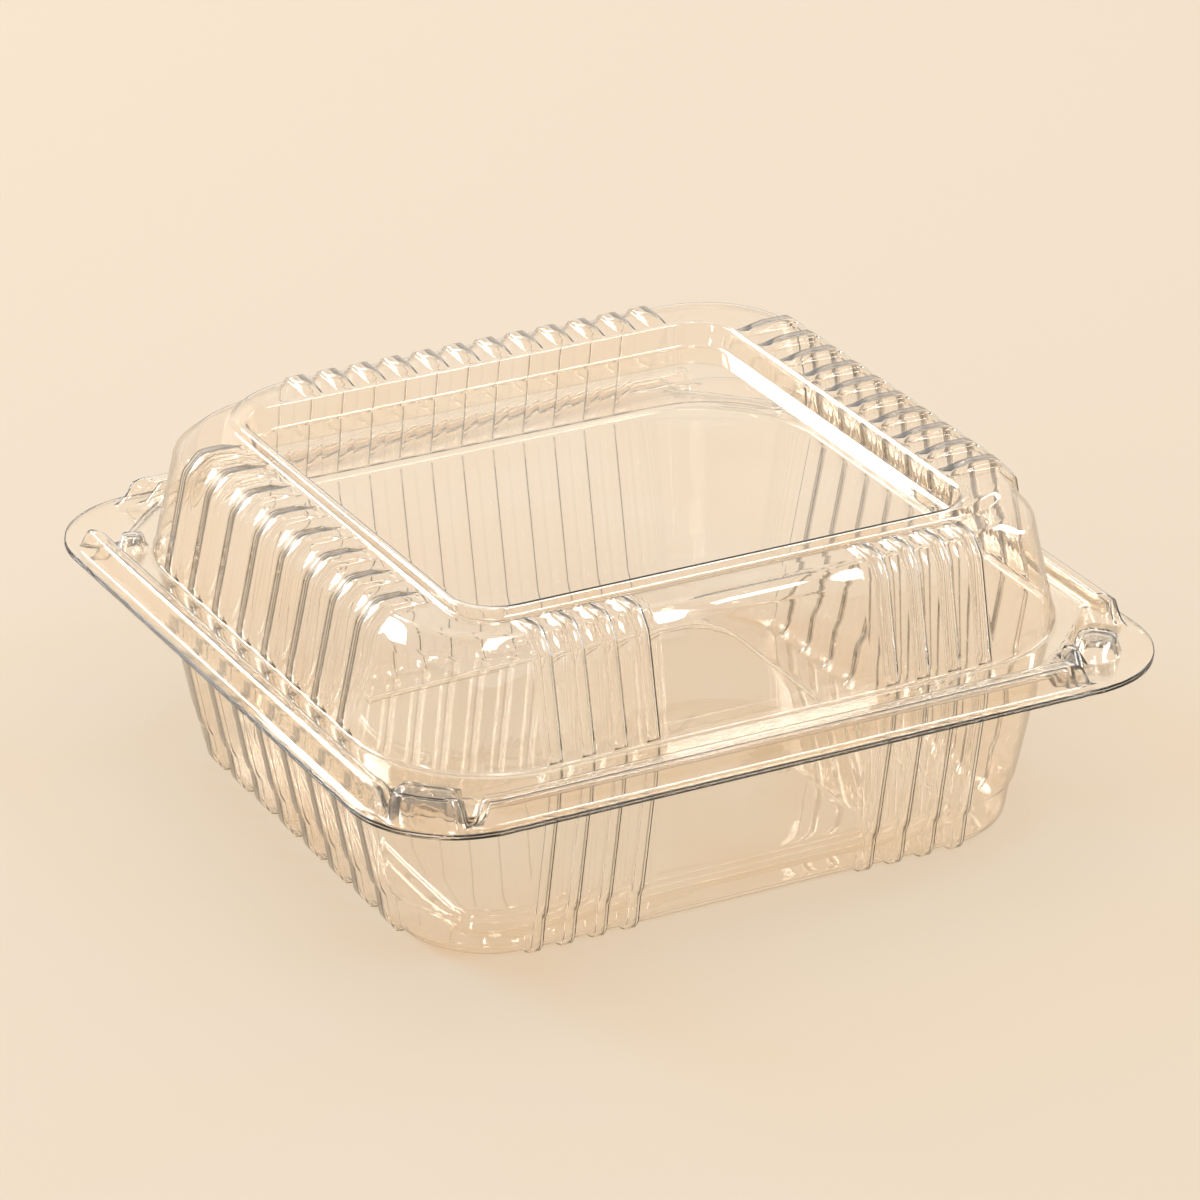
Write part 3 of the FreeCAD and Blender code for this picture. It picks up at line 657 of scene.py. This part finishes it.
pet = bpy.data.materials.new("clear_pet")
pet.use_nodes = True
tree = pet.node_tree
tree.nodes.clear()
place = add_node(tree, "ShaderNodeTexCoord").outputs["Object"]
patches = add_node(tree, "ShaderNodeTexNoise", values={"Scale": PATCH_CELLS, "Detail": 1.0},
                   links={"Vector": place})
drawn = add_node(tree, "ShaderNodeMapping", values={"Scale": WAVE_CELLS}, links={"Vector": place})
waves = add_node(tree, "ShaderNodeTexNoise", values={"Scale": 1.0, "Detail": 1.0},
                 links={"Vector": drawn.outputs["Vector"]})
bump = add_node(tree, "ShaderNodeBump",
                values={"Strength": WAVE_STRENGTH, "Distance": WAVE_HEIGHT / PER_METRE},
                links={"Height": waves.outputs["Fac"]})
print("cells to a metre:", PATCH_CELLS, WAVE_CELLS)

# %% [markdown]
# Three ramps give the colours: one for the patches, one for the painted shade that darkens the sheet towards
# its edge, and one for the light it lets through. The stops are filled in one loop, because a new ramp has
# only two of them.

# %% Colour ramps
facing = add_node(tree, "ShaderNodeLayerWeight", values={"Blend": 0.5}).outputs["Facing"]
patch_tint = add_node(tree, "ShaderNodeValToRGB", links={"Fac": patches.outputs["Fac"]})
# Painted shade: this ramp keeps the sheet nearly clear where it faces the view and paints it dark brown where
# it turns away.
tint_and_painted_edge_shade = add_node(tree, "ShaderNodeValToRGB", links={"Fac": facing})
shade = add_node(tree, "ShaderNodeValToRGB", links={"Fac": facing})
STOPS = ((patch_tint, ((0.35, "#FFFFFF"), (0.7, "#FEFBF7"))),
         (tint_and_painted_edge_shade, ((0.0, "#FFFCF8"), (0.72, "#FEF9F1"), (0.88, "#B7A592"), (1.0, "#473C32"))),
         (shade, ((0.0, "#FFFFFF"), (0.6, "#FFFDF9"), (1.0, "#FDEBD5"))))

for node, stops in STOPS:
    elements = node.color_ramp.elements
    while len(elements) < len(stops):
        elements.new(0.5)
    for element, (position, code) in zip(elements, stops):
        element.position = position
        element.color = linear(code)
print("stops in the ramps:", [len(stops) for _, stops in STOPS])

# %% [markdown]
# The body of the material is one clear surface with the patches' tint times the painted edge shade. A thin
# sheet hardly bends the light of a lamp, so shadow rays pass straight through and lose only a little at steep
# walls.
# Tracing that light through two curved skins would give much the same soft shadow with more noise.

# %% Clear surface
# The patches' tint times the painted edge shade, which darkens the clear surface along rims and ribs.
tint_with_painted_edge_shade = add_node(tree, "ShaderNodeMix", settings={"data_type": "RGBA", "blend_type": "MULTIPLY"},
                values={"Factor": 1.0}, links={6: tint_and_painted_edge_shade.outputs["Color"], 7: patch_tint.outputs["Color"]})
body = add_node(tree, "ShaderNodeBsdfPrincipled",
                values={"IOR": 1.57, "Roughness": 0.0, "Transmission Weight": 1.0},
                links={"Base Color": tint_with_painted_edge_shade.outputs[2], "Normal": bump.outputs["Normal"]})
through = add_node(tree, "ShaderNodeBsdfTransparent", links={"Color": shade.outputs["Color"]})
ray = add_node(tree, "ShaderNodeLightPath")
mix = add_node(tree, "ShaderNodeMixShader",
               links={0: ray.outputs["Is Shadow Ray"], 1: body.outputs[0], 2: through.outputs[0]})
add_node(tree, "ShaderNodeOutputMaterial", links={"Surface": mix.outputs[0]})

for piece in (lid, tray, fold):
    piece.data.materials.append(pet)
print("clear PET is on", [piece.name for piece in (lid, tray, fold)])

# %% [markdown]
# ## The table
# The pack stands on a matt painted board in warm cream. Matt paint scatters light evenly: a high roughness
# and a weak mirror part give the eye the soft shadow of the pack and no gloss. The board is far wider than
# the view.

# %% Table
TABLE_HALF = 6.0


def table_top():
    """A wide plain board under the pack."""
    mesh = bpy.data.meshes.new("table")
    corners = [(x * TABLE_HALF, y * TABLE_HALF, 0) for x, y in ((-1, -1), (1, -1), (1, 1), (-1, 1))]
    mesh.from_pydata(corners, [], [(0, 1, 2, 3)])
    board = bpy.data.objects.new("table", mesh)
    bpy.context.collection.objects.link(board)
    material = bpy.data.materials.new("cream_board")
    material.use_nodes = True
    inputs = material.node_tree.nodes["Principled BSDF"].inputs
    inputs["Base Color"].default_value = linear("#F2E1CB")
    inputs["Roughness"].default_value = 0.85
    inputs["Specular IOR Level"].default_value = 0.2
    board.data.materials.append(material)
    return board


table = table_top()
print("the table is", table.dimensions.x, "m wide")

# %% [markdown]
# ## Light
# Clear plastic shows what stands round it more than its own colour. The room is nearly white where the
# camera or the plastic sees it, so that walls stay pale, and dim as a light, so that the lamps make the
# shadow.

# %% Room
scene = bpy.context.scene
world = bpy.data.worlds.new("studio")
world.use_nodes = True
tree = world.node_tree
tree.nodes.clear()
ray = add_node(tree, "ShaderNodeLightPath")
mirrored = add_node(tree, "ShaderNodeMath", settings={"operation": "MAXIMUM"},
                    links={0: ray.outputs["Is Glossy Ray"], 1: ray.outputs["Is Transmission Ray"]})
shown = add_node(tree, "ShaderNodeMath", settings={"operation": "MAXIMUM"},
                 links={0: mirrored.outputs[0], 1: ray.outputs["Is Camera Ray"]})
lit = add_node(tree, "ShaderNodeBackground", values={"Color": linear("#FFFBF5"), "Strength": 0.2})
seen = add_node(tree, "ShaderNodeBackground", values={"Color": linear("#FFF9F0"), "Strength": 1.0})
mix = add_node(tree, "ShaderNodeMixShader", links={0: shown.outputs[0], 1: lit.outputs[0], 2: seen.outputs[0]})
add_node(tree, "ShaderNodeOutputWorld", links={"Surface": mix.outputs[0]})
scene.world = world
print("the room's nodes:", len(tree.nodes))

# %% [markdown]
# A product table is lit with soft boxes. The key light stands high behind on the left, so the shadow falls
# to the front right. Two more make the shoulders shine, one low behind on the left and one high in front on
# the right. One hangs above, and three narrow strips at the sides and behind draw the bright lines along
# the rims. Each is given by how bright its face is, which is what a mirror image of it shows, and not by
# its power.

# %% Soft boxes
LAMPS_AIM = (0, 0, 0.04)


def soft_box(name, place, size, radiance):
    """A rectangular soft box aimed at the pack, given by how bright its face is."""
    data = bpy.data.lights.new(name, "AREA")
    data.shape = "RECTANGLE"
    data.size, data.size_y = size
    data.energy = radiance * math.pi * size[0] * size[1]
    lamp = bpy.data.objects.new(name, data)
    bpy.context.collection.objects.link(lamp)
    lamp.location = place
    aim = Vector(LAMPS_AIM) - lamp.location
    lamp.rotation_euler = aim.to_track_quat("-Z", "Y").to_euler()
    return lamp


lamps = [soft_box("key", (-2.0, 2.6, 2.6), (1.8, 1.35), 8.2),
         soft_box("shoulder_left", (-1.68, 3.03, 1.53), (1.2, 0.82), 13.5),
         soft_box("shoulder_front", (1.6, -1.9, 2.85), (1.4, 0.75), 10.5),
         soft_box("top", (0.2, -0.2, 3.9), (1.8, 0.6), 6.5),
         soft_box("strip_left", (-3.1, -0.75, 1.65), (0.3, 1.5), 10.0),
         soft_box("strip_right", (3.1, 0.6, 1.8), (0.3, 1.5), 10.0),
         soft_box("strip_back", (0.3, 3.3, 2.55), (1.5, 0.27), 10.0)]
print("soft boxes:", [lamp.name for lamp in lamps])

# %% [markdown]
# ## Camera
# The photograph looks down at a front corner of the pack with a long lens, so lines that run away stay
# nearly parallel. The place and the lens come from fitting the pack's straight edges.

# %% Camera
camera_data = bpy.data.cameras.new("photo")
camera_data.sensor_width = 36.0
camera_data.lens = 189.08
camera = bpy.data.objects.new("photo", camera_data)
bpy.context.collection.objects.link(camera)
camera.location = (-0.5576, -1.0553, 0.5914)
aim = Vector((-0.00016, -0.00081, 0.04095))
camera.rotation_euler = (aim - camera.location).to_track_quat("-Z", "Y").to_euler()
scene.camera = camera
scene.view_settings.view_transform = "Standard"
print("camera stands", round((camera.location - aim).length, 3), "m from the pack")

# %% [markdown]
# A view through the pack crosses several sheets, and each has two faces. Twelve crossings are allowed,
# which is enough for six sheets. Sharp light patterns focused by the plastic are left out, because they
# mostly add noise.

# %% Light paths
scene.cycles.max_bounces = 12
scene.cycles.transmission_bounces = 12
scene.cycles.glossy_bounces = 4
scene.cycles.transparent_max_bounces = 24
scene.cycles.caustics_reflective = False
scene.cycles.caustics_refractive = False
print("a ray may pass", scene.cycles.transmission_bounces, "clear faces")
